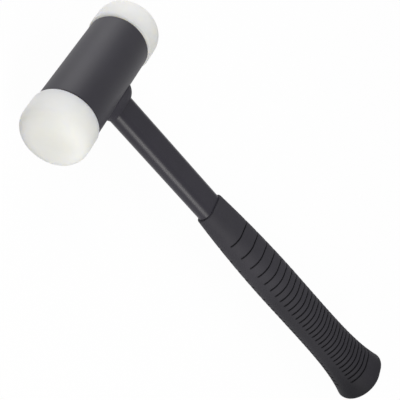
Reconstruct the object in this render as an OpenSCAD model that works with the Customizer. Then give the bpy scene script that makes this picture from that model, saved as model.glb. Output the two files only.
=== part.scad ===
// Dead blow hammer: a round steel head with nylon faces and loose shot, on a steel tube with a rubber grip.
// It lies on its side. The head runs along X, the handle along +Y, and Z = 0 is the table.

/* [Head housing] */
// Outside diameter of the housing
housing_d = 47.5; // [44:0.5:49]
// Length of the housing, end to end
housing_len = 88.5; // [84:0.5:110]
// Thickness of the housing's wall
housing_wall = 3.25; // [2.75:0.25:4]
// Bevel on the housing's end edges
housing_bevel = 0.6; // [0.2:0.1:1.2]

/* [Striking faces] */
// Diameter of the nylon faces
face_d = 50; // [49:0.5:56]
// Length of a face outside the housing
face_len = 27.5; // [20:0.5:36]
// Rounding of the striking edge
face_round = 11.5; // [4:0.5:14]
// Rounding of the edge beside the housing
face_back_round = 3; // [1:0.25:4]
// Length of the spigot that enters the housing
spigot_len = 14; // [10:0.5:15]

/* [Snap rings] */
// Width of the ring along the head
ring_w = 2; // [1.5:0.25:3]
// Height of the ring's section
ring_h = 2; // [1.6:0.2:2.4]
// Distance from the housing's end to the middle of the ring
ring_inset = 6; // [4:0.5:7]
// Opening angle of the ring
ring_gap = 24; // [10:2:60]

/* [Shot chamber] */
// Thickness of the discs that close the chamber
disc_t = 3; // [2:0.5:4]
// Rings of balls round the middle ball of a layer
ball_rings = 2; // [2:1:3]
// Gap between neighbouring balls
ball_gap = 0.3; // [0.2:0.05:0.6]
// Share of the chamber's length that the shot fills
shot_fill = 0.6; // [0.4:0.05:0.75]

/* [Handle] */
// Width of the flat oval handle tube, along the head
shaft_w = 26.5; // [24:0.5:30]
// Thickness of the handle tube, across the head
shaft_t = 13.5; // [12:0.5:15]
// Thickness of the tube's wall
shaft_wall = 2; // [1.5:0.25:3]
// Leg of the weld between the tube and the housing
weld_leg = 6; // [3:0.5:7]
// Swell of the weld's face
weld_swell = 0.5; // [0.1:0.1:1]
// Height of the weld's blunt edges
weld_toe = 0.3; // [0.2:0.05:0.5]
// Depth of the plug at the tube's head end
head_plug_len = 9; // [6:0.5:14]
// Depth of the plug at the tube's butt end
butt_plug_len = 14; // [8:0.5:20]
// Thickness of the butt plug's flange
plug_flange_t = 2; // [1:0.25:3]

/* [Grip] */
// Distance from the head's axis to the grip's front edge
grip_start = 133; // [120:1:145]
// Distance from the head's axis to the butt's end
grip_end = 349; // [345:1:380]
// Thickness of the rubber at the grip's front edge
grip_front_wall = 1.6; // [1:0.1:3]
// Rounding of the grip's front edge
grip_front_round = 0.8; // [0.3:0.1:1.2]
// Width of the grip at its belly, along the head
grip_belly_w = 36; // [34:0.5:40]
// Thickness of the grip at its belly
grip_belly_t = 30; // [28:0.5:33]
// Distance from the grip's front edge to its belly
grip_belly_at = 98; // [80:1:120]
// Growth of the grip's radius from its belly to its butt
butt_flare = 6; // [3:0.2:7]
// Rounding of the butt's rim
butt_rim = 2.5; // [1.5:0.5:4]
// Slope of the butt's domed end where it leaves the rim
butt_slope = 26; // [10:1:35]
// Thickness of the rubber behind the tube's plug
butt_wall = 12; // [6:0.5:16]

/* [Grooves] */
// Distance from the grip's front edge to the first groove
groove_first = 30; // [25:1:45]
// Spacing of the close grooves near the butt
groove_pitch = 4.3; // [3.5:0.1:6]
// Extra spacing at the first groove
groove_spread = 9; // [0:0.25:12]
// Share of the extra spacing that each groove passes on
groove_decay = 0.78; // [0.5:0.01:0.9]
// Width of a groove
groove_w = 0.9; // [0.6:0.1:1.4]
// Depth of a groove
groove_depth = 0.9; // [0.4:0.1:1.2]
// Angle of the smooth strip on each side of the head's direction
groove_margin = 21; // [10:1:40]
// Angle over which a groove gains its depth
groove_runout = 6; // [2:1:12]
// Plain length between the last groove and the butt's end
groove_end_gap = 17; // [12:1:30]

/* [Fits] */
// Radial clearance of the fixed pieces in their bores
fit_gap = 0.05; // [0.02:0.01:0.1]
// Clearance of the loose shot in the chamber
shot_gap = 0.4; // [0.3:0.05:0.8]

/* [Hidden] */
$fn = 96;
// How far a cutting shape reaches past the surface that it cuts
cut = 1;
housing_r = housing_d / 2;
bore_r = housing_r - housing_wall;
half_len = housing_len / 2;
face_r = face_d / 2;
spigot_r = bore_r - fit_gap;
disc_at = half_len - spigot_len - disc_t;
chamber_len = 2 * disc_at;
ring_r = bore_r - ring_h / 2;
shaft_r = shaft_t / 2;
shaft_flat = (shaft_w - shaft_t) / 2;
shaft_bore_r = shaft_r - shaft_wall;
grip_bore_end = grip_end - butt_wall;
shaft_end = grip_bore_end - plug_flange_t;

// The faces and the butt set the overall box, whose middle is the origin
overall_len = face_r + grip_end;
head_y = face_r - overall_len / 2;
axis_z = face_r;

// The balls fill the bore from their middle one to the wall, and the chamber for part of its length
ball_r = (bore_r - shot_gap - ball_rings * ball_gap) / (2 * ball_rings + 1);
ball_pitch = 2 * ball_r + ball_gap;
shot_layers = floor(shot_fill * chamber_len / ball_pitch);
balls_in_first_ring = 6;
ball_facets = 32;

// A flat oval has two round ends, and a turn is an end's side with an angle round it
function oval_turns(angles) = [for (side = [1, -1], angle = angles) [side, angle + 90 * (1 - side)]];
function oval_point(turn, flat, r, at) = [turn[0] * flat + r * cos(turn[1]), r * sin(turn[1]), at];

// Steps round an end of the weld and along its face
weld_steps = 30;
weld_face_steps = 6;
weld_turns = oval_turns([for (k = [0:weld_steps]) 180 * k / weld_steps - 90]);

// The grip's corners stand closest where its grooves run out
strip_steps = 2;
groove_steps = 5;
groove_full = groove_margin + groove_runout;
quarter_angles = concat(
    [for (k = [0:strip_steps]) groove_margin * k / strip_steps],
    [for (k = [0:groove_steps]) groove_full + (90 - groove_full) * k / groove_steps]
);
end_angles = concat([for (k = [len(quarter_angles) - 1:-1:1]) -quarter_angles[k]], quarter_angles);
grip_turns = oval_turns(end_angles);
widest_step = max([for (k = [1:len(quarter_angles) - 1]) quarter_angles[k] - quarter_angles[k - 1]]);
grip_bore_r = (shaft_r + fit_gap) / cos(widest_step / 2);

// The grip swells to its belly, then flares to its butt, whose rim turns into a domed end
plain_steps = 4;
round_steps = 6;
dome_steps = 6;
dome_share = 0.8;
grip_front_r = shaft_r + fit_gap + grip_front_wall;
grip_belly_r = grip_belly_t / 2;
grip_belly_flat = (grip_belly_w - grip_belly_t) / 2;
butt_r = grip_belly_r + butt_flare;
rim_turn = 90 - butt_slope;
dome_r = butt_r - butt_rim * (1 - cos(rim_turn));
dome_h = dome_r * dome_share * tan(butt_slope) / 2;
butt_at = grip_end - dome_h - butt_rim * sin(rim_turn);
flare_power = 4.7;
belly_at = grip_start + grip_belly_at;
function grip_swell(at) = 1 - pow(1 - min(1, (at - grip_start) / grip_belly_at), 2);
function grip_flare(at) = pow(max(0, at - belly_at) / (butt_at - belly_at), flare_power);
function grip_flat(at) = shaft_flat + (grip_belly_flat - shaft_flat) * grip_swell(at);
function grip_radius(at) =
    grip_front_r + (grip_belly_r - grip_front_r) * grip_swell(at) + butt_flare * grip_flare(at);

// The grooves start far apart and close up to an even spacing
groove_limit = 80;
function groove_at(k) =
    grip_start + groove_first + groove_pitch * k
    + groove_spread * (1 - pow(groove_decay, k)) / (1 - groove_decay);
groove_places = [for (k = [0:groove_limit]) if (groove_at(k) < grip_end - groove_end_gap) groove_at(k)];

paint = [0.25, 0.25, 0.27];
nylon = [0.93, 0.93, 0.90];
steel = [0.62, 0.62, 0.64];
rubber = [0.17, 0.17, 0.18];
plastic = [0.30, 0.30, 0.30];

// Lays a shape that was drawn about Z along the head's axis, with Z turned to +X
module on_head() {
    translate([0, head_y, axis_z]) rotate([0, 90, 0]) children();
}

// Lays a shape that was drawn about Z along the handle's axis, with Z turned to +Y
module on_handle() {
    translate([0, head_y, axis_z]) rotate([-90, 0, 0]) children();
}

// Solid cylinder along the head's axis, seen from a shape that was drawn for the handle
module head_core(r) {
    rotate([0, 90, 0]) cylinder(h = housing_len, r = r, center = true);
}

// Half section of the housing's tube, with beveled end edges
module housing_section() {
    polygon([
        [bore_r, -half_len], [housing_r - housing_bevel, -half_len],
        [housing_r, -half_len + housing_bevel], [housing_r, half_len - housing_bevel],
        [housing_r - housing_bevel, half_len], [bore_r, half_len]
    ]);
}

// Groove for a snap ring, in the housing's bore and in the spigot
module ring_groove() {
    translate([ring_r - fit_gap, half_len - ring_inset - ring_w / 2 - fit_gap])
        square([ring_h + 2 * fit_gap, ring_w + 2 * fit_gap]);
}

// Flat oval with its long side along X, from half its flat and the radius of its ends
module oval(flat, r) {
    square([2 * flat, 2 * r], center = true);
    for (side = [1, -1])
        translate([side * flat, 0]) circle(r);
}

// Painted steel tube that carries everything else in the head
module head_housing() {
    color(paint)
        difference() {
            on_head()
                rotate_extrude()
                    difference() {
                        housing_section();
                        ring_groove();
                        mirror([0, 1]) ring_groove();
                    }
            on_handle() linear_extrude(housing_r + cut) oval(shaft_flat, shaft_r + fit_gap);
        }
}

// Quarter of a disc, for a rounded edge
module quarter(r) {
    intersection() {
        circle(r);
        square(r);
    }
}

// Half section of a face: a rounded block outside the housing and a spigot inside it
module face_section() {
    translate([0, half_len]) {
        translate([0, face_back_round]) square([face_r, face_len - face_back_round - face_round]);
        square([face_r - face_back_round, face_len - face_round]);
        square([face_r - face_round, face_len]);
        translate([face_r - face_back_round, face_back_round]) mirror([0, 1]) quarter(face_back_round);
        translate([face_r - face_round, face_len - face_round]) quarter(face_round);
    }
    translate([0, half_len - spigot_len]) square([spigot_r, spigot_len + face_back_round]);
}

// Nylon striking face, pushed into the housing's end
module striking_face() {
    color(nylon)
        on_head()
            rotate_extrude()
                difference() {
                    face_section();
                    ring_groove();
                }
}

// Steel disc that closes the shot chamber behind a spigot
module chamber_disc() {
    color(steel)
        on_head()
            translate([0, 0, disc_at]) cylinder(h = disc_t, r = bore_r - fit_gap);
}

// Open spring ring that locks a spigot in the housing
module snap_ring() {
    color(steel)
        on_head()
            rotate([0, 0, ring_gap / 2])
                rotate_extrude(angle = 360 - ring_gap)
                    translate([ring_r, half_len - ring_inset - ring_w / 2]) square([ring_h, ring_w]);
}

// Moves a piece of the front end to the rear end
module to_rear() {
    mirror([1, 0, 0]) children();
}

module front_face() {
    striking_face();
}

module rear_face() {
    to_rear() striking_face();
}

module front_disc() {
    chamber_disc();
}

module rear_disc() {
    to_rear() chamber_disc();
}

module front_snap_ring() {
    snap_ring();
}

module rear_snap_ring() {
    to_rear() snap_ring();
}

// One layer of balls: a middle ball with rings round it
module ball_layer() {
    sphere(ball_r, $fn = ball_facets);
    for (ring = [1:ball_rings]) {
        count = balls_in_first_ring * ring;
        for (k = [0:count - 1])
            rotate([0, 0, 360 * k / count])
                translate([ball_pitch * ring, 0, 0]) sphere(ball_r, $fn = ball_facets);
    }
}

// Loose steel balls, bunched in the middle of their travel
module steel_shot() {
    color(steel)
        on_head()
            for (layer = [0:shot_layers - 1])
                translate([0, 0, (layer - (shot_layers - 1) / 2) * ball_pitch]) ball_layer();
}

// Height of the housing's surface over the head's axis, at a radius and an angle round an end of the oval
function saddle(r, angle) = sqrt(pow(housing_r, 2) - pow(r * sin(angle), 2));

// Outline of the weld's section at one angle, as [radius, height] points
function weld_face(angle, t) =
    let (toe = shaft_r + weld_leg, swell = weld_swell * sin(180 * t))
    [
        toe - (weld_leg - weld_toe) * t + swell,
        (saddle(toe, angle) + weld_toe) * (1 - t) + (saddle(shaft_r, angle) + weld_leg) * t + swell
    ];
function weld_section(angle) = concat(
    [[shaft_r - cut, saddle(shaft_r, angle) - cut]],
    [[shaft_r + weld_leg, saddle(shaft_r + weld_leg, angle) - cut]],
    [for (k = [0:weld_face_steps]) weld_face(angle, k / weld_face_steps)],
    [[shaft_r - cut, saddle(shaft_r, angle) + weld_leg]]
);

// Closed ring that is swept round the tube along the saddle where it meets the housing
module weld_sweep() {
    corners = len(weld_section(0));
    turns = len(weld_turns);
    points = [
        for (turn = weld_turns, p = weld_section(turn[1]))
            oval_point(turn, shaft_flat, p[0], p[1])
    ];
    faces = [
        for (step = [0:turns - 1], k = [0:corners - 1])
            let (a = step * corners, b = (step + 1) % turns * corners, next = (k + 1) % corners)
                each [[a + k, a + next, b + next], [a + k, b + next, b + k]]
    ];
    polyhedron(points, faces);
}

// Weld bead between the tube and the housing
module neck_weld() {
    color(paint)
        on_handle()
            difference() {
                weld_sweep();
                head_core(housing_r);
                linear_extrude(shaft_end) oval(shaft_flat, shaft_r);
            }
}

// Painted steel tube, cut to follow the housing's bore
module shaft_tube() {
    color(paint)
        on_handle()
            difference() {
                linear_extrude(shaft_end)
                    difference() {
                        oval(shaft_flat, shaft_r);
                        oval(shaft_flat, shaft_bore_r);
                    }
                head_core(bore_r);
            }
}

// Plug that keeps the shot out of the tube
module head_plug() {
    color(steel)
        on_handle()
            difference() {
                linear_extrude(bore_r + head_plug_len) oval(shaft_flat, shaft_bore_r - fit_gap);
                head_core(bore_r);
            }
}

// Flanged plug in the tube's butt end
module butt_plug() {
    color(plastic)
        on_handle() {
            translate([0, 0, shaft_end - butt_plug_len])
                linear_extrude(butt_plug_len) oval(shaft_flat, shaft_bore_r - fit_gap);
            translate([0, 0, shaft_end])
                linear_extrude(plug_flange_t) oval(shaft_flat, shaft_r);
        }
}

// Rings of the grip's skin, as [place, half flat, end radius, groove depth]
function grip_ring(at, depth) = [at, grip_flat(at), grip_radius(at), depth];
function plain_rings(from, to) =
    [for (k = [0:plain_steps]) grip_ring(from + (to - from) * k / plain_steps, 0)];
front_at = grip_start + grip_front_round;
grooves_start = groove_places[0] - groove_w;
grooves_end = groove_places[len(groove_places) - 1] + groove_w;
bore_rings = [for (at = [grip_bore_end, grip_start]) [at, shaft_flat, grip_bore_r, 0]];
lip_rings = [
    for (k = [0:round_steps - 1])
        let (angle = 90 * k / round_steps)
            [
                front_at - grip_front_round * cos(angle),
                grip_flat(front_at),
                grip_radius(front_at) - grip_front_round * (1 - sin(angle)),
                0
            ]
];
groove_rings = [
    for (at = groove_places)
        each [grip_ring(at - groove_w / 2, 0), grip_ring(at, groove_depth), grip_ring(at + groove_w / 2, 0)]
];
rim_rings = [
    for (k = [1:round_steps])
        let (angle = rim_turn * k / round_steps)
            [
                butt_at + butt_rim * sin(angle),
                grip_flat(butt_at),
                butt_r - butt_rim * (1 - cos(angle)),
                0
            ]
];
dome_rings = [
    for (k = [1:dome_steps])
        let (share = k / dome_steps)
            [
                grip_end - dome_h * pow(1 - share, 2),
                grip_flat(butt_at),
                dome_r * (1 - dome_share * share),
                0
            ]
];
grip_rings = concat(
    bore_rings, lip_rings, plain_rings(front_at, grooves_start), groove_rings,
    plain_rings(grooves_end, butt_at), rim_rings, dome_rings
);

// Share of its depth that a groove has at an angle, which is none on the strips that face along the head
function groove_share(angle) = max(0, min(1, (asin(abs(sin(angle))) - groove_margin) / groove_runout));

// Rubber sleeve with grooves across its upper and lower sides, a flared butt and the tube's blind bore
module grip() {
    corners = len(grip_turns);
    last = len(grip_rings) - 1;
    points = [
        for (ring = grip_rings, turn = grip_turns)
            oval_point(turn, ring[1], ring[2] - ring[3] * groove_share(turn[1]), ring[0])
    ];
    skin = [
        for (step = [0:last - 1], k = [0:corners - 1])
            let (a = step * corners, b = a + corners, next = (k + 1) % corners)
                each [[a + k, b + k, b + next], [a + k, b + next, a + next]]
    ];
    bore_bottom = [for (k = [0:corners - 1]) k];
    butt_end = [for (k = [corners - 1:-1:0]) last * corners + k];
    color(rubber)
        on_handle()
            polyhedron(points, concat(skin, [bore_bottom, butt_end]));
}

head_housing();
front_face();
rear_face();
front_disc();
rear_disc();
front_snap_ring();
rear_snap_ring();
steel_shot();
neck_weld();
shaft_tube();
head_plug();
butt_plug();
grip();
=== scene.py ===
import math

import bpy
from mathutils import Matrix, Vector


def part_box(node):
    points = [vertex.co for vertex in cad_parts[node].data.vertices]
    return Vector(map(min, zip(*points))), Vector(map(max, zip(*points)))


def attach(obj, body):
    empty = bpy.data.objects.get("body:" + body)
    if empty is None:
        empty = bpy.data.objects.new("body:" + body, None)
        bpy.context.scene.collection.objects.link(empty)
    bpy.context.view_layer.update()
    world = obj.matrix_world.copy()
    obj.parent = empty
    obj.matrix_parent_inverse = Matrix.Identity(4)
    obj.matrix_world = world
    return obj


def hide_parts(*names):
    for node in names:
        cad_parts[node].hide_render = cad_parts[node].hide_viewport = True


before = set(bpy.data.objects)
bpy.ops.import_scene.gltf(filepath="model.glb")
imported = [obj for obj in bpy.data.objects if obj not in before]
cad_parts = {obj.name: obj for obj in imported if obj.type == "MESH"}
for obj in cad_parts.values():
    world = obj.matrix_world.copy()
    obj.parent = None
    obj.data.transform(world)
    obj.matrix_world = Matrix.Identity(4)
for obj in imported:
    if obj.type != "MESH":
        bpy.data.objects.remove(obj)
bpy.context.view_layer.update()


# Head housing: a length of round steel tube with broken end edges and an oval hole for the handle.
# The bore is turned, with a groove near each end for a spring ring.
# It is painted satin graphite after the handle is welded in.
housing_low, housing_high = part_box("head_housing")
head = (housing_low + housing_high) / 2
housing_r = (housing_high.z - housing_low.z) / 2
housing_half = housing_high.x
housing_wall = 0.00325
housing_bore = housing_r - housing_wall
housing_edge = 0.0007
ring_low, ring_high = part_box("front_snap_ring")
ring_r = (ring_high.z - ring_low.z) / 2
fit_gap = 0.00005
shaft_low, shaft_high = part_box("shaft_tube")
shaft_r = (shaft_high.z - shaft_low.z) / 2
shaft_flat = shaft_high.x - shaft_r
hole_border = 0.005
hole_frame = shaft_high.x + hole_border


def arc(along, radius, size, first, last, steps):
    """Points of a rounded edge, as (along, radius), from one angle to another in degrees."""
    angles = [math.radians(first + (last - first) * k / steps) for k in range(steps + 1)]
    return [(along + size * math.cos(a), radius + size * math.sin(a)) for a in angles]


def turn(name, outline, axis, steps, flat=0.0, flat_steps=1):
    """Spins an outline of (along, radius) points about an axis through the head's middle.
    A flat spins each half about its own line, that far to each side, and joins them straight across."""
    axis, aside = Vector(axis), Vector((flat, 0, 0))
    places = [head + aside + axis * along + Vector((0, 0, radius)) for along, radius in outline]
    bpy.ops.object.select_all(action="DESELECT")
    bpy.ops.mesh.primitive_plane_add(size=0.001, location=(0, 0, 0))
    piece = bpy.context.object
    piece.name = name
    bpy.ops.object.mode_set(mode="EDIT")
    bpy.ops.mesh.select_all(action="SELECT")
    bpy.ops.mesh.merge(type="CENTER")
    bpy.ops.transform.translate(value=places[0])
    for here, there in zip(places, places[1:]):
        bpy.ops.mesh.extrude_vertices_move(TRANSFORM_OT_translate={"value": there - here})
    bpy.ops.mesh.select_all(action="SELECT")
    if flat:
        for side in (1, -1):
            bpy.ops.mesh.spin(steps=steps // 2, angle=-math.pi, center=head + side * aside, axis=axis)
            for k in range(flat_steps):
                across = aside * (-2 * side / flat_steps)
                bpy.ops.mesh.extrude_region_move(TRANSFORM_OT_translate={"value": across})
    else:
        bpy.ops.mesh.spin(steps=steps, angle=-2 * math.pi, center=head, axis=axis)
    bpy.ops.mesh.select_all(action="SELECT")
    bpy.ops.mesh.remove_doubles(threshold=1e-6)
    bpy.ops.mesh.normals_make_consistent(inside=False)
    bpy.ops.object.mode_set(mode="OBJECT")
    return piece


def soften(piece, angle=35):
    """Shades a piece smooth, with its true edges kept."""
    bpy.ops.object.select_all(action="DESELECT")
    piece.select_set(True)
    bpy.context.view_layer.objects.active = piece
    bpy.ops.object.shade_smooth_by_angle(angle=math.radians(angle))


def apply_modifier(piece, kind, **settings):
    """Adds one modifier with its settings and applies it."""
    bpy.ops.object.select_all(action="DESELECT")
    piece.select_set(True)
    bpy.context.view_layer.objects.active = piece
    modifier = piece.modifiers.new(kind.lower(), kind)
    for setting, value in settings.items():
        setattr(modifier, setting, value)
    bpy.ops.object.modifier_apply(modifier=modifier.name)


ring_seat = [
    (ring_low.x - fit_gap, housing_bore),
    (ring_low.x - fit_gap, ring_r + fit_gap),
    (ring_high.x + fit_gap, ring_r + fit_gap),
    (ring_high.x + fit_gap, housing_bore),
]
housing_end = housing_half - housing_edge
housing_outline = [(-housing_half, housing_bore)]
housing_outline += arc(-housing_end, housing_r - housing_edge, housing_edge, 180, 90, 6)
housing_outline += [(-hole_frame, housing_r), (0, housing_r), (hole_frame, housing_r)]
housing_outline += arc(housing_end, housing_r - housing_edge, housing_edge, 90, 0, 6)
housing_outline += [(housing_half, housing_bore)]
housing_outline += ring_seat[::-1]
housing_outline += [(-along, radius) for along, radius in ring_seat]
housing_outline += housing_outline[:1]
housing = turn("head_housing_tube", housing_outline, (1, 0, 0), 144)
hole_r = shaft_r + fit_gap
hole_depth = 2 * housing_r
hole_outline = [(0, 0), (0, hole_r), (hole_depth, hole_r), (hole_depth, 0)]
hole = turn("handle_hole", hole_outline, (0, 1, 0), 64, shaft_flat)
apply_modifier(housing, "BOOLEAN", operation="DIFFERENCE", solver="EXACT", object=hole)
bpy.data.objects.remove(hole)
soften(housing)


class Shade:
    """Wraps a socket of a material's nodes, so that shader maths reads as plain sums."""

    def __init__(self, tree, socket=None):
        self.tree = tree
        self.socket = socket

    def node(self, kind, settings, inputs, output=0):
        """Adds a node of one kind, sets it up, links its inputs and wraps one of its outputs."""
        made = self.tree.nodes.new("ShaderNode" + kind)
        for setting, value in settings.items():
            if setting == "stops":
                for k, (place, tone) in enumerate(value):
                    stop = made.color_ramp.elements[k] if k < 2 else made.color_ramp.elements.new(place)
                    stop.position = place
                    stop.color = (tone, tone, tone, 1)
            else:
                setattr(made, setting, value)
        for name, value in inputs.items():
            if isinstance(value, Shade):
                self.tree.links.new(value.socket, made.inputs[name])
            else:
                made.inputs[name].default_value = value
        return Shade(self.tree, made.outputs[output])

    def maths(self, operation, first, second):
        return self.node("Math", {"operation": operation}, {0: first, 1: second})

    def __add__(self, other):
        return self.maths("ADD", self, other)

    def __radd__(self, other):
        return self.maths("ADD", other, self)

    def __sub__(self, other):
        return self.maths("SUBTRACT", self, other)

    def __rsub__(self, other):
        return self.maths("SUBTRACT", other, self)

    def __mul__(self, other):
        return self.maths("MULTIPLY", self, other)

    def __rmul__(self, other):
        return self.maths("MULTIPLY", other, self)

    def ramp(self, stops):
        return self.node("ValToRGB", {"stops": stops}, {"Fac": self})

    def noise(self, place, scale, detail=2.0):
        return self.node("TexNoise", {}, {"Vector": place, "Scale": scale, "Detail": detail})

    def blend(self, first, second):
        """Mixes two colours by this value."""
        return self.node("Mix", {"data_type": "RGBA"}, {0: self, 6: (*first, 1), 7: (*second, 1)}, 2)

    def relief(self, strength, depth):
        """Turns this height into a bump normal."""
        return self.node("Bump", {}, {"Strength": strength, "Distance": depth, "Height": self}, "Normal")

    def into(self, surface, name):
        self.tree.links.new(self.socket, surface.inputs[name])


def start_finish(name):
    """A new material, its surface shader, its bare node tree and the object's own coordinates."""
    material = bpy.data.materials.new(name)
    material.use_nodes = True
    bare = Shade(material.node_tree)
    place = bare.node("TexCoord", {}, {}, "Object")
    return material, material.node_tree.nodes["Principled BSDF"], bare, place


def paint(name, dark, light, gloss, shine):
    """Sprayed satin paint: a fine orange peel, faint clouds of tone and a slightly uneven gloss."""
    material, surface, bare, place = start_finish(name)
    surface.inputs["Specular IOR Level"].default_value = shine
    cloud = bare.noise(place, 38, 3)
    speck = bare.noise(place, 2600, 1)
    peel = bare.noise(place, 950, 2)
    shade = (cloud * 0.7 + speck * 0.3).ramp([(0.32, 0), (0.68, 1)])
    shade.blend(dark, light).into(surface, "Base Color")
    (gloss - 0.03 + cloud * 0.06).into(surface, "Roughness")
    (peel * 0.7 + speck * 0.3).relief(0.22, 0.00003).into(surface, "Normal")
    return material


head_paint = paint("satin_graphite_paint", (0.0238, 0.0223, 0.0306), (0.0296, 0.0278, 0.0380), 0.55, 0.53)
housing.data.materials.append(head_paint)
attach(housing, "hammer")
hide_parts("head_housing")


# Chamber discs, spring rings and head plug: plain steel pieces that the closed head hides.
# The discs and the plug are sawn and faced, and the rings are bent from square wire.
# The discs lie between shot and faces, the rings sit in grooves, and the plug closes the tube's head end.
def plain_steel(name, tone):
    """Bare steel with a drawn grain along its surface and a trace of oil."""
    material, surface, bare, place = start_finish(name)
    stretched = bare.node("Mapping", {}, {"Vector": place, "Scale": (1, 18, 18)})
    grain = bare.noise(stretched, 160, 3)
    oil = bare.noise(place, 70, 3)
    dark = tuple(0.82 * part for part in tone)
    shade = (grain * 0.6 + oil * 0.4).ramp([(0.3, 0), (0.7, 1)])
    shade.blend(dark, tone).into(surface, "Base Color")
    (0.26 + oil * 0.2).into(surface, "Roughness")
    grain.relief(0.12, 0.00002).into(surface, "Normal")
    surface.inputs["Metallic"].default_value = 1.0
    return material


disc_steel = plain_steel("faced_disc_steel", (0.56, 0.56, 0.57))
ring_steel = plain_steel("spring_wire_steel", (0.46, 0.46, 0.48))
for node, finish in (
    ("front_disc", disc_steel),
    ("rear_disc", disc_steel),
    ("head_plug", disc_steel),
    ("front_snap_ring", ring_steel),
    ("rear_snap_ring", ring_steel),
):
    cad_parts[node].data.materials.clear()
    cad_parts[node].data.materials.append(finish)


# Steel shot: loose cast balls in the closed chamber, which slide to the far end just after a blow.
# Each has a small flat where it left its mould.
# They lie in layers, each a middle ball with two rings of balls round it.
shot_low, shot_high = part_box("steel_shot")
shot_middle = (shot_low + shot_high) / 2
ball_r = 0.0039
ball_pitch = 0.0081
ball_flat = 0.95 * ball_r
layers = 4
ring_counts = (1, 6, 12)
bpy.ops.object.select_all(action="DESELECT")
bpy.ops.mesh.primitive_ico_sphere_add(subdivisions=3, radius=ball_r, location=(0, 0, 0))
ball = bpy.context.object
bpy.ops.object.mode_set(mode="EDIT")
bpy.ops.mesh.select_all(action="SELECT")
bpy.ops.mesh.bisect(plane_co=(0, 0, ball_flat), plane_no=(0, 0, 1), use_fill=True, clear_outer=True)
bpy.ops.mesh.select_all(action="SELECT")
bpy.ops.mesh.normals_make_consistent(inside=False)
bpy.ops.object.mode_set(mode="OBJECT")
balls = []
for layer in range(layers):
    for ring, count in enumerate(ring_counts):
        for k in range(count):
            turned = 2 * math.pi * k / count
            copy = ball.copy()
            copy.data = ball.data.copy()
            bpy.context.scene.collection.objects.link(copy)
            copy.rotation_euler = (1.7 * k + layer, 2.3 * layer + ring, 0.9 * k)
            copy.location = shot_middle + Vector((
                (layer - (layers - 1) / 2) * ball_pitch,
                ring * ball_pitch * math.sin(turned),
                ring * ball_pitch * math.cos(turned),
            ))
            balls.append(copy)
bpy.data.objects.remove(ball)
bpy.ops.object.select_all(action="DESELECT")
for copy in balls:
    copy.select_set(True)
bpy.context.view_layer.objects.active = balls[0]
bpy.ops.object.transform_apply(location=True, rotation=True, scale=True)
bpy.ops.object.join()
shot = bpy.context.object
shot.name = "shot_charge"
soften(shot, 30)
shot.data.materials.append(plain_steel("cast_shot_steel", (0.50, 0.49, 0.48)))
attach(shot, "shot")
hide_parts("steel_shot")


# Striking faces: solid off-white nylon, turned to a rounded cup with a spigot that enters the housing.
# A groove in the spigot takes the spring ring, so that a worn face can be pulled and replaced.
face_low, face_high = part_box("front_face")
face_r = (face_high.z - face_low.z) / 2
face_end = face_high.x
spigot_r = housing_bore - fit_gap
spigot_bevel = 0.0008
ring_inner = ring_r - (ring_high.x - ring_low.x) - fit_gap
face_back = housing_half + fit_gap
back_round = 0.003
crown_across = 0.017
crown_along = 0.0135
crown_power = 2.75
crown_steps = 26


def crown(along, radius, reach_along, reach_across, power, steps):
    """Points of an edge that starts along the side and rounds, without a step, to the end's middle."""
    angles = [math.pi / 2 * (k / steps) for k in range(steps + 1)]
    return [
        (
            along + reach_along * math.sin(a) ** (2 / power),
            radius + reach_across * math.cos(a) ** (2 / power),
        )
        for a in angles
    ]


face_outline = [
    (face_low.x, 0),
    (face_low.x, spigot_r - spigot_bevel),
    (face_low.x + spigot_bevel, spigot_r),
    (ring_low.x - fit_gap, spigot_r),
    (ring_low.x - fit_gap, ring_inner),
    (ring_high.x + fit_gap, ring_inner),
    (ring_high.x + fit_gap, spigot_r),
    (face_back, spigot_r),
]
face_outline += arc(face_back + back_round, face_r - back_round, back_round, 180, 90, 12)
face_outline += crown(
    face_end - crown_along, face_r - crown_across, crown_along, crown_across, crown_power, crown_steps
)
face_outline += [(face_end, 0)]
front_face = turn("front_striking_face", face_outline, (1, 0, 0), 128)
rear_face = front_face.copy()
rear_face.data = front_face.data.copy()
rear_face.name = "rear_striking_face"
bpy.context.scene.collection.objects.link(rear_face)
bpy.ops.object.select_all(action="DESELECT")
rear_face.select_set(True)
bpy.context.view_layer.objects.active = rear_face
bpy.ops.object.mode_set(mode="EDIT")
bpy.ops.mesh.select_all(action="SELECT")
bpy.ops.transform.resize(value=(-1, 1, 1), center_override=(0, 0, 0))
bpy.ops.mesh.normals_make_consistent(inside=False)
bpy.ops.object.mode_set(mode="OBJECT")

nylon, surface, bare, place = start_finish("off_white_nylon")
mottle = bare.noise(place, 55, 3)
grain = bare.noise(place, 1500, 2)
head_way = bare.node("SeparateXYZ", {}, {"Vector": place}, "X")
tool_marks = bare.node("Math", {"operation": "SINE"}, {0: head_way * 9000})
shade = (mottle * 0.8 + grain * 0.2).ramp([(0.3, 0), (0.7, 1)])
shade.blend((0.855, 0.860, 0.830), (0.890, 0.895, 0.868)).into(surface, "Base Color")
(0.56 + mottle * 0.12).into(surface, "Roughness")
(grain * 0.8 + tool_marks * 0.05).relief(0.25, 0.00005).into(surface, "Normal")
surface.inputs["Specular IOR Level"].default_value = 0.35
surface.inputs["Subsurface Weight"].default_value = 1.0
surface.inputs["Subsurface Radius"].default_value = (1.0, 0.95, 0.8)
surface.inputs["Subsurface Scale"].default_value = 0.018
for face, node in ((front_face, "front_face"), (rear_face, "rear_face")):
    soften(face)
    face.data.materials.append(nylon)
    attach(face, "hammer")
    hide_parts(node)


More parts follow.
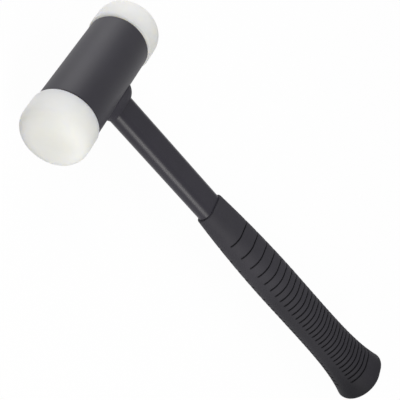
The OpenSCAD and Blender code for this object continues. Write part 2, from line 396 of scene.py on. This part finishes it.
# Handle tube: flat oval steel tube, cope cut at its head end to follow the housing's bore, and welded in.
# It is painted with the head, and its butt end is hidden in the grip.
shaft_wall = 0.002
shaft_bore = shaft_r - shaft_wall
shaft_end = shaft_high.y - head.y
shaft_cope = 0.015
shaft_edge = 0.0004
shaft_rings = 12
shaft_outline = [(shaft_cope, shaft_bore), (shaft_cope, shaft_r)]
shaft_outline += [
    (shaft_cope + (shaft_end - shaft_cope) * k / shaft_rings, shaft_r) for k in range(1, shaft_rings)
]
shaft_outline += arc(shaft_end - shaft_edge, shaft_r - shaft_edge, shaft_edge, 90, 0, 4)
shaft_outline += [(shaft_end, shaft_bore), (shaft_cope, shaft_bore)]
shaft = turn("handle_tube", shaft_outline, (0, 1, 0), 112, shaft_flat, 4)
for point in shaft.data.vertices:
    if point.co.y < head.y + shaft_cope + shaft_wall:
        point.co.y = head.y + math.sqrt(housing_bore ** 2 - (point.co.z - head.z) ** 2)
soften(shaft)
shaft.data.materials.append(
    paint("satin_handle_paint", (0.0295, 0.0278, 0.0367), (0.0362, 0.0340, 0.0449), 0.345, 0.285)
)
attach(shaft, "hammer")
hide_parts("shaft_tube")


# Neck weld: one bead run round the foot of the handle tube, along the saddle where it enters the housing.
# It was laid with small ripples, hollow towards the front and short at the rear, then brushed and painted.
weld_leg = 0.006
weld_swell = 0.0005
weld_toe = 0.0003
weld_steps = 10
ripple_length = 0.0021
ripple_height = 0.00006
ripple_slant = 900
weld_hollow = 0.0014
rear_short = 0.0014


def bead_point(share):
    """Point of the bead's face, from its toe on the housing to its toe on the tube."""
    swell = weld_swell * math.sin(math.pi * share)
    rise = (weld_leg - weld_toe) * share
    return (housing_r + weld_toe + rise + swell, shaft_r + weld_leg - rise + swell)


weld_outline = [(housing_r, shaft_r), (housing_r, shaft_r + weld_leg)]
weld_outline += [bead_point(k / weld_steps) for k in range(weld_steps + 1)]
weld_outline += [(housing_r + weld_leg, shaft_r), (housing_r, shaft_r)]
weld = turn("neck_weld_bead", weld_outline, (0, 1, 0), 240, shaft_flat, 16)
ripples = weld.vertex_groups.new(name="ripples")
for point in weld.data.vertices:
    side = max(-shaft_flat, min(shaft_flat, point.co.x))
    angle = math.atan2(point.co.z - head.z, point.co.x - side)
    round_way = angle * (shaft_r + weld_leg / 2) + side * math.copysign(1, head.z - point.co.z)
    away = math.hypot(point.co.x - side, point.co.z - head.z)
    on_face = math.sin(math.pi * max(0, min(1, (away - shaft_r) / weld_leg)))
    slanted = ripple_slant * (away - shaft_r)
    wave = 0.5 + 0.5 * math.sin(2 * math.pi * round_way / ripple_length + slanted)
    toward_front = max(0, min(1, 0.5 + point.co.x / (2 * shaft_high.x))) ** 2
    pressed = ripple_height * wave + weld_hollow * toward_front
    ripples.add([point.index], on_face * pressed / (ripple_height + weld_hollow), "REPLACE")
    point.co.y += math.sqrt(housing_r ** 2 - (point.co.z - head.z) ** 2) - housing_r
    rearward = max(0, (side - point.co.x) / away)
    point.co.x += rear_short * rearward ** 2 * ((away - shaft_r) / weld_leg) ** 3
weld_press = -ripple_height - weld_hollow
apply_modifier(weld, "DISPLACE", vertex_group="ripples", strength=weld_press, mid_level=0.0)
soften(weld, 45)
weld.data.materials.append(
    paint("brushed_weld_paint", (0.0345, 0.0325, 0.0425), (0.0410, 0.0387, 0.0500), 0.64, 0.20)
)
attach(weld, "hammer")
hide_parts("neck_weld")


# Butt plug: a moulded plastic stopper with a flange, pushed into the butt end of the tube.
# It keeps the tube's sharp edge off the rubber, which hides it.
plug_plastic, surface, bare, place = start_finish("moulded_plug_plastic")
flow = bare.noise(place, 90, 3)
grain = bare.noise(place, 1800, 2)
shade = flow.ramp([(0.3, 0), (0.7, 1)])
shade.blend((0.060, 0.060, 0.062), (0.080, 0.080, 0.082)).into(surface, "Base Color")
(0.45 + flow * 0.12).into(surface, "Roughness")
grain.relief(0.15, 0.00003).into(surface, "Normal")
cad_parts["butt_plug"].data.materials.clear()
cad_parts["butt_plug"].data.materials.append(plug_plastic)


# Grip: a moulded rubber sleeve, pushed over the tube, that swells from a thin front lip to a domed butt.
# Thirty grooves cross its upper and lower sides, far apart at the front and close at the butt.
# Its colour carries painted shade: darker towards the butt, darker on its round sides from about a third of
# the way back, and darker in the groove floors.
grip_low, grip_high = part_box("grip")
grip_start = grip_low.y - head.y
grip_end = grip_high.y - head.y
lip = 0.0008
front_wall = 0.00165
front_r = shaft_r + front_wall
belly_r = 0.015
belly_flat = 0.003
belly_reach = 0.098
belly_at = grip_start + belly_reach
butt_flare = 0.006
butt_r = belly_r + butt_flare
butt_rim = 0.0025
butt_slope = 26
flare_power = 4.7
dome_share = 0.8
dome_r = butt_r - butt_rim * (1 - math.sin(math.radians(butt_slope)))
dome_height = dome_r * dome_share * math.tan(math.radians(butt_slope)) / 2
body_end = grip_end - dome_height - butt_rim * math.cos(math.radians(butt_slope))
butt_wall = 0.012
bore_r = shaft_r + fit_gap
bore_end = grip_end - butt_wall
groove_count = 30
groove_first = 0.030
groove_pitch = 0.0043
groove_spread = 0.009
groove_decay = 0.78
groove_depth = 0.00115
groove_margin = 18
groove_runout = 6
groove_places = [
    grip_start + groove_first + groove_pitch * k
    + groove_spread * (1 - groove_decay ** k) / (1 - groove_decay)
    for k in range(groove_count)
]
# Share of a groove's depth, at each distance from the groove's middle.
groove_profile = {
    0.0: 1.0,
    0.00034: 0.94,
    0.00047: 0.60,
    0.00058: 0.22,
    0.00075: 0.09,
    0.00115: 0.03,
    0.0016: 0.0,
}
groove_side = 0.002


def swell(along):
    """Share of the growth from the front lip to the belly."""
    return 1 - (1 - min(1, (along - grip_start) / (belly_at - grip_start))) ** 2


def grip_radius(along):
    """Radius of the round ends of the grip's section."""
    flare = max(0, (along - belly_at) / (body_end - belly_at)) ** flare_power
    return front_r + (belly_r - front_r) * swell(along) + (butt_r - belly_r) * flare


def grip_flat(along):
    """Half the width of the flat between the round ends."""
    return shaft_flat + (belly_flat - shaft_flat) * swell(along)


body_start = grip_start + lip
plain_start = groove_places[-1] + groove_side
front_length = groove_places[0] - groove_side - body_start
body_rings = [groove + side * away for groove in groove_places for away in groove_profile for side in (1, -1)]
body_rings += [body_start + front_length * k / 10 for k in range(11)]
body_rings += [(here + there) / 2 for here, there in zip(groove_places, groove_places[1:])]
body_rings += [plain_start + (body_end - plain_start) * k / 7 for k in range(8)]
body_rings = sorted({round(ring, 6) for ring in body_rings})
grip_outline = [(bore_end, 0), (bore_end, bore_r), (grip_start, bore_r)]
grip_outline += arc(body_start, grip_radius(body_start) - lip, lip, 180, 90, 8)[:-1]
grip_outline += [(ring, grip_radius(ring)) for ring in body_rings]
grip_outline += arc(body_end, butt_r - butt_rim, butt_rim, 90, butt_slope, 10)[1:]
dome_rings = [k / 14 for k in range(1, 15)]
grip_outline += [(grip_end - dome_height * (1 - k) ** 2, dome_r * (1 - dome_share * k)) for k in dome_rings]
grip_outline += [(grip_end, 0)]
grip = turn("grooved_grip", grip_outline, (0, 1, 0), 120, shaft_flat, 6)

grooves = grip.vertex_groups.new(name="grooves")
# Each point's groove depth share, kept as an attribute for the painted shade in the groove floors.
groove_shade_shares = []
skin_limit = bore_r + lip / 2
groove_reach = max(groove_profile) + fit_gap
for point in grip.data.vertices:
    along = point.co.y - head.y
    side = max(-shaft_flat, min(shaft_flat, point.co.x))
    out = point.co.x - side
    lift = point.co.z - head.z
    depth = 0.0
    if math.hypot(out, lift) > skin_limit or along > bore_end + fit_gap:
        facing = abs(math.degrees(math.atan2(lift, abs(out))))
        runout = max(0, min(1, (facing - groove_margin) / groove_runout))
        nearest = min(abs(along - groove) for groove in groove_places)
        if nearest < groove_reach:
            depth = runout * groove_profile[min(groove_profile, key=lambda away: abs(away - nearest))]
        point.co.x = out + side * grip_flat(along) / shaft_flat
    groove_shade_shares.append(depth)
    grooves.add([point.index], depth, "REPLACE")
grip.data.attributes.new("groove", "FLOAT", "POINT").data.foreach_set("value", groove_shade_shares)
apply_modifier(grip, "DISPLACE", vertex_group="grooves", strength=-groove_depth, mid_level=0.0)
soften(grip, 60)

rubber, surface, bare, place = start_finish("matte_grip_rubber")
bloom = bare.noise(place, 45, 4)
skin = bare.noise(place, 1700, 2)
pores = bare.noise(place, 5200, 1)
# Painted shade: the groove floors are darkened by their depth share.
groove_painted_shade = bare.node("Attribute", {"attribute_name": "groove"}, {}, "Fac")
handle_way = bare.node("SeparateXYZ", {}, {"Vector": place}, "Y")
side_way = bare.node("SeparateXYZ", {}, {"Vector": place}, "X")
share = (handle_way - grip_low.y) * (1 / (grip_high.y - grip_low.y))
# Painted shade: the rubber's colour is darkened towards the butt.
butt_painted_shade = share.ramp([(0.36, 0), (0.80, 0.40), (0.92, 0.75), (1.0, 1)])
# Painted shade: the round sides are darkened from about a third of the way along the grip.
side_painted_shade = (side_way * side_way * 1000).ramp([(0.12, 0), (0.42, 1)]) * share.ramp([(0.28, 0), (0.45, 1)])
# The tone is random bloom and skin, less the painted shade towards the butt, on the round sides and in the
# groove floors.
tone = 0.64 + (bloom * 0.7 + skin * 0.3) * 0.5 - butt_painted_shade * 0.5 - side_painted_shade * 0.42 - groove_painted_shade * 0.8
tone.blend((0.0060, 0.0057, 0.0085), (0.0470, 0.0452, 0.0545)).into(surface, "Base Color")
(0.58 + bloom * 0.14).into(surface, "Roughness")
(skin * 0.7 + pores * 0.3).relief(0.35, 0.00005).into(surface, "Normal")
surface.inputs["Specular IOR Level"].default_value = 0.20
grip.data.materials.append(rubber)
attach(grip, "hammer")
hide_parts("grip")


# Studio: a round white floor whose rim sweeps up into a low wall, so that no edge shows behind the hammer.
# It shows as plain paper, with a faint contact shadow.
floor_r = 5.5
floor_drop = 0.0002
sweep_r = 0.9
sweep_steps = 8
wall_height = 0.6
bpy.ops.object.select_all(action="DESELECT")
bpy.ops.mesh.primitive_circle_add(
    vertices=96, radius=floor_r, fill_type="NGON", location=(0, 0, -floor_drop)
)
floor = bpy.context.object
floor.name = "studio_floor"
bpy.ops.object.mode_set(mode="EDIT")
bpy.ops.mesh.select_all(action="SELECT")
bpy.ops.mesh.select_mode(type="EDGE")
bpy.ops.mesh.region_to_loop()
reach, rise = floor_r, 0.0
for k in range(1, sweep_steps + 2):
    angle = math.pi / 2 * min(1, k / sweep_steps)
    wide = floor_r + sweep_r * math.sin(angle)
    high = sweep_r * (1 - math.cos(angle)) + (wall_height if k > sweep_steps else 0)
    bpy.ops.mesh.extrude_edges_move(TRANSFORM_OT_translate={"value": (0, 0, high - rise)})
    bpy.ops.transform.resize(value=(wide / reach, wide / reach, 1), center_override=(0, 0, 0))
    reach, rise = wide, high
bpy.ops.object.mode_set(mode="OBJECT")
floor_paper = bpy.data.materials.new("white_paper_floor")
floor_paper.use_nodes = True
bare = Shade(floor_paper.node_tree)
rays = {
    name: bare.node("LightPath", {}, {}, name)
    for name in ("Is Camera Ray", "Is Glossy Ray", "Is Transmission Ray")
}
seen = rays["Is Camera Ray"] + rays["Is Glossy Ray"] + rays["Is Transmission Ray"]
paper = bare.node("BsdfDiffuse", {}, {"Color": seen.blend((0.63, 0.63, 0.63), (0.95, 0.95, 0.95))})
white = bare.node("Emission", {}, {"Color": (1, 1, 1, 1), "Strength": 1.0})
ground = bare.node("MixShader", {}, {0: seen * 0.97, 1: paper, 2: white})
ground.into(floor_paper.node_tree.nodes["Material Output"], "Surface")
floor.data.materials.append(floor_paper)

world = bpy.data.worlds.new("studio_air")
bpy.context.scene.world = world
world.use_nodes = True
world.node_tree.nodes["Background"].inputs["Color"].default_value = (1, 1, 1, 1)
world.node_tree.nodes["Background"].inputs["Strength"].default_value = 0.46


# Lamps: two soft boxes, which light the hammer at a plain level together with the white air.
# A tall one beyond the near face draws the line along the tube, and a large one lights the head's crown.
def soft_box(name, toward, distance, width, height, power, colour):
    """An area lamp that looks at the hammer from one direction."""
    data = bpy.data.lights.new(name, "AREA")
    data.shape = "RECTANGLE"
    data.size = width
    data.size_y = height
    data.energy = power
    data.color = colour
    lamp = bpy.data.objects.new(name, data)
    bpy.context.scene.collection.objects.link(lamp)
    direction = Vector(toward).normalized()
    lamp.location = head + direction * distance
    lamp.rotation_euler = direction.to_track_quat("Z", "Y").to_euler()


soft_box(
    "side_soft_box",
    toward=(0.78, 0.39, 0.49),
    distance=1.2,
    width=0.19,
    height=0.80,
    power=7.6,
    colour=(1.0, 0.985, 0.95),
)
soft_box(
    "crown_soft_box",
    toward=(-0.50, -0.73, 0.40),
    distance=0.80,
    width=0.66,
    height=0.62,
    power=3.4,
    colour=(0.985, 0.975, 1.0),
)


# Camera: it stands high on the near side of the head, as far off as the photograph's perspective asks.
# It is turned about its line of sight until the handle hangs to the lower right.
camera_data = bpy.data.cameras.new("photo_camera")
camera_data.sensor_width = 36
camera_data.lens = 78.41
camera = bpy.data.objects.new("photo_camera", camera_data)
bpy.context.scene.collection.objects.link(camera)
eye = head + Vector((0.43714, -0.13625, 0.42016))
aim = head + Vector((0.00151, 0.12259, 0.0))
upward = Vector((-0.6745, -0.6840, 0.2779))
ahead = (aim - eye).normalized()
right = ahead.cross(upward).normalized()
turn_to_photo = Matrix((right, right.cross(ahead), -ahead)).transposed()
camera.matrix_world = Matrix.Translation(eye) @ turn_to_photo.to_4x4()
bpy.context.scene.camera = camera
bpy.context.scene.view_settings.view_transform = "Standard"
